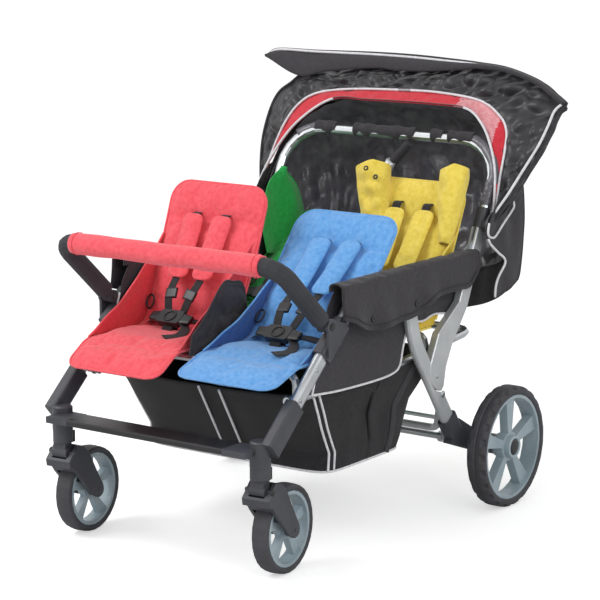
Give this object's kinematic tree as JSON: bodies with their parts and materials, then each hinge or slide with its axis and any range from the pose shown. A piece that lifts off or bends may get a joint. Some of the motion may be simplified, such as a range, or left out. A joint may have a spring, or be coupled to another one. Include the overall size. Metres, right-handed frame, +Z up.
{
  "type": "multi seat daycare stroller",
  "caption": "Folding daycare stroller with padded reclining bucket seats in pairs, sprung swivel castors, large spoked rear wheels, bumper bar, basket and a tilting hood.",
  "frame": {"origin": "on the ground, at the middle of the stroller's bounding box", "axes": "+Z up, +X to the rider side right when seen from the front, the stroller's front faces -Y"},
  "size_m": [0.8222, 1.0954, 0.9414],
  "materials": {
    "silver_tube": "satin",
    "black_plastic": "satin",
    "foam": "matte foam",
    "tyre": "matte",
    "rim": "satin",
    "black_fabric": "woven",
    "red_fabric": "cotton weave",
    "blue_fabric": "cotton weave",
    "yellow_fabric": "cotton weave",
    "green_fabric": "cotton weave"
  },
  "bodies": {
    "chassis": {"side_frame_left": "silver_tube", "side_frame_right": "silver_tube", "castor_housing_left": "black_plastic", "castor_housing_right": "black_plastic", "front_crossbar": "black_plastic", "bumper_clamp_left": "black_plastic", "bumper_clamp_right": "black_plastic", "seat_frame": "silver_tube", "seat_red": "red_fabric", "seat_blue": "blue_fabric", "seat_yellow": "yellow_fabric", "seat_green": "green_fabric", "basket": "black_fabric", "armrest_cover_left": "black_fabric", "armrest_cover_right": "black_fabric", "centre_divider": "black_fabric", "buckle_red": "black_plastic", "buckle_blue": "black_plastic", "buckle_yellow": "black_plastic", "buckle_green": "black_plastic"},
    "bumper": {"bumper_bar": "foam", "bumper_sleeve": "red_fabric"},
    "bumper_release_left": {"bumper_button_left": "black_plastic"},
    "bumper_release_right": {"bumper_button_right": "black_plastic"},
    "back_red": {"seat_back_red": "red_fabric"},
    "release_red": {"buckle_button_red": "black_plastic"},
    "back_blue": {"seat_back_blue": "blue_fabric"},
    "release_blue": {"buckle_button_blue": "black_plastic"},
    "back_yellow": {"seat_back_yellow": "yellow_fabric"},
    "release_yellow": {"buckle_button_yellow": "black_plastic"},
    "back_green": {"seat_back_green": "green_fabric"},
    "release_green": {"buckle_button_green": "black_plastic"},
    "castor_left": {"castor_yoke_left": "black_plastic"},
    "castor_fork_left": {"fork_left": "black_plastic"},
    "front_wheel_left": {"front_tyre_left": "tyre", "front_rim_left": "rim"},
    "castor_lock_left": {"swivel_lock_left": "black_plastic"},
    "castor_right": {"castor_yoke_right": "black_plastic"},
    "castor_fork_right": {"fork_right": "black_plastic"},
    "front_wheel_right": {"front_tyre_right": "tyre", "front_rim_right": "rim"},
    "castor_lock_right": {"swivel_lock_right": "black_plastic"},
    "handle": {"handle_link_left": "silver_tube", "handle_link_right": "silver_tube", "handle_bar": "silver_tube", "hood_clamp_left": "black_plastic", "hood_clamp_right": "black_plastic", "centre_strut": "black_fabric", "hood_shell": "black_fabric"},
    "visor": {"hood_visor": "black_fabric"},
    "rear": {"rear_frame": "silver_tube", "hub_bracket_left": "black_plastic", "hub_bracket_right": "black_plastic", "rear_axle": "silver_tube"},
    "rear_wheel_left": {"rear_tyre_left": "tyre", "rear_rim_left": "rim"},
    "rear_wheel_right": {"rear_tyre_right": "tyre", "rear_rim_right": "rim"},
    "brake": {"brake_bar": "silver_tube"}
  },
  "joints": [
    {"name": "bumper_swing", "type": "hinge", "parent": "chassis", "child": "bumper", "pos_m": [0, -0.31468, 0.482], "axis": [1, 0, 0], "range_deg": [0, 45]},
    {"name": "bumper_press_left", "type": "slide", "parent": "chassis", "child": "bumper_release_left", "axis": [1, 0, 0], "range_m": [0, 0.002], "stiffness_N_per_m": 120, "springref_m": -0.002},
    {"name": "bumper_press_right", "type": "slide", "parent": "chassis", "child": "bumper_release_right", "axis": [-1, 0, 0], "range_m": [0, 0.002], "stiffness_N_per_m": 120, "springref_m": -0.002},
    {"name": "recline_red", "type": "hinge", "parent": "chassis", "child": "back_red", "pos_m": [0, -0.21868, 0.409], "axis": [1, 0, 0], "range_deg": [-30, 0]},
    {"name": "buckle_press_red", "type": "slide", "parent": "chassis", "child": "release_red", "axis": [0, 0.5736, -0.8191], "range_m": [0, 0.002], "stiffness_N_per_m": 300, "springref_m": -0.001},
    {"name": "recline_blue", "type": "hinge", "parent": "chassis", "child": "back_blue", "pos_m": [0, -0.21868, 0.409], "axis": [1, 0, 0], "range_deg": [-10, 20]},
    {"name": "buckle_press_blue", "type": "slide", "parent": "chassis", "child": "release_blue", "axis": [0, 0.5736, -0.8191], "range_m": [0, 0.002], "stiffness_N_per_m": 300, "springref_m": -0.001},
    {"name": "recline_yellow", "type": "hinge", "parent": "chassis", "child": "back_yellow", "pos_m": [0, 0.11532, 0.409], "axis": [1, 0, 0], "range_deg": [-25, 10]},
    {"name": "buckle_press_yellow", "type": "slide", "parent": "chassis", "child": "release_yellow", "axis": [0, 0.5736, -0.8191], "range_m": [0, 0.002], "stiffness_N_per_m": 300, "springref_m": -0.001},
    {"name": "recline_green", "type": "hinge", "parent": "chassis", "child": "back_green", "pos_m": [0, 0.11532, 0.409], "axis": [1, 0, 0], "range_deg": [0, 30]},
    {"name": "buckle_press_green", "type": "slide", "parent": "chassis", "child": "release_green", "axis": [0, 0.5736, -0.8191], "range_m": [0, 0.002], "stiffness_N_per_m": 300, "springref_m": -0.001},
    {"name": "castor_swivel_left", "type": "hinge", "parent": "chassis", "child": "castor_left", "pos_m": [-0.2515, -0.49668, 0], "axis": [0, 0, 1], "continuous": true},
    {"name": "castor_spring_left", "type": "hinge", "parent": "castor_left", "child": "castor_fork_left", "pos_m": [-0.25134, -0.49868, 0.186], "axis": [0.9969, 0.0785, 0], "range_deg": [0, 8], "stiffness_Nm_per_rad": 18, "springref_deg": -20.05},
    {"name": "front_wheel_spin_left", "type": "hinge", "parent": "castor_fork_left", "child": "front_wheel_left", "pos_m": [-0.25793, -0.41494, 0.0904], "axis": [0.9969, 0.0785, 0], "continuous": true},
    {"name": "swivel_lock_slide_left", "type": "slide", "parent": "castor_left", "child": "castor_lock_left", "axis": [0, 0, 1], "range_m": [0, 0.005]},
    {"name": "castor_swivel_right", "type": "hinge", "parent": "chassis", "child": "castor_right", "pos_m": [0.2515, -0.49668, 0], "axis": [0, 0, 1], "continuous": true},
    {"name": "castor_spring_right", "type": "hinge", "parent": "castor_right", "child": "castor_fork_right", "pos_m": [0.25166, -0.49868, 0.186], "axis": [0.9969, 0.0785, 0], "range_deg": [0, 8], "stiffness_Nm_per_rad": 18, "springref_deg": -20.05},
    {"name": "front_wheel_spin_right", "type": "hinge", "parent": "castor_fork_right", "child": "front_wheel_right", "pos_m": [0.24507, -0.41494, 0.0904], "axis": [0.9969, 0.0785, 0], "continuous": true},
    {"name": "swivel_lock_slide_right", "type": "slide", "parent": "castor_right", "child": "castor_lock_right", "axis": [0, 0, 1], "range_m": [0, 0.005]},
    {"name": "handle_fold", "type": "hinge", "parent": "chassis", "child": "handle", "pos_m": [0, 0.25332, 0.568], "axis": [-1, 0, 0], "range_deg": [-85, 0]},
    {"name": "visor_swing", "type": "hinge", "parent": "handle", "child": "visor", "pos_m": [0, 0.26757, 0.60631], "axis": [1, 0, 0], "range_deg": [0, 65]},
    {"name": "rear_fold", "type": "hinge", "parent": "chassis", "child": "rear", "pos_m": [0, -0.01568, 0.505], "axis": [1, 0, 0], "range_deg": [-45, 0]},
    {"name": "rear_wheel_spin_left", "type": "hinge", "parent": "rear", "child": "rear_wheel_left", "pos_m": [-0.3575, 0.25432, 0.1325], "axis": [1, 0, 0], "continuous": true},
    {"name": "rear_wheel_spin_right", "type": "hinge", "parent": "rear", "child": "rear_wheel_right", "pos_m": [0.3575, 0.25432, 0.1325], "axis": [1, 0, 0], "continuous": true},
    {"name": "brake_press", "type": "hinge", "parent": "rear", "child": "brake", "pos_m": [0, 0.23832, 0.134], "axis": [1, 0, 0], "range_deg": [-25, 0]}
  ],
  "couplings": [
    {"joint": "rear_fold", "follows": "handle_fold", "ratio": 0.52941}
  ]
}
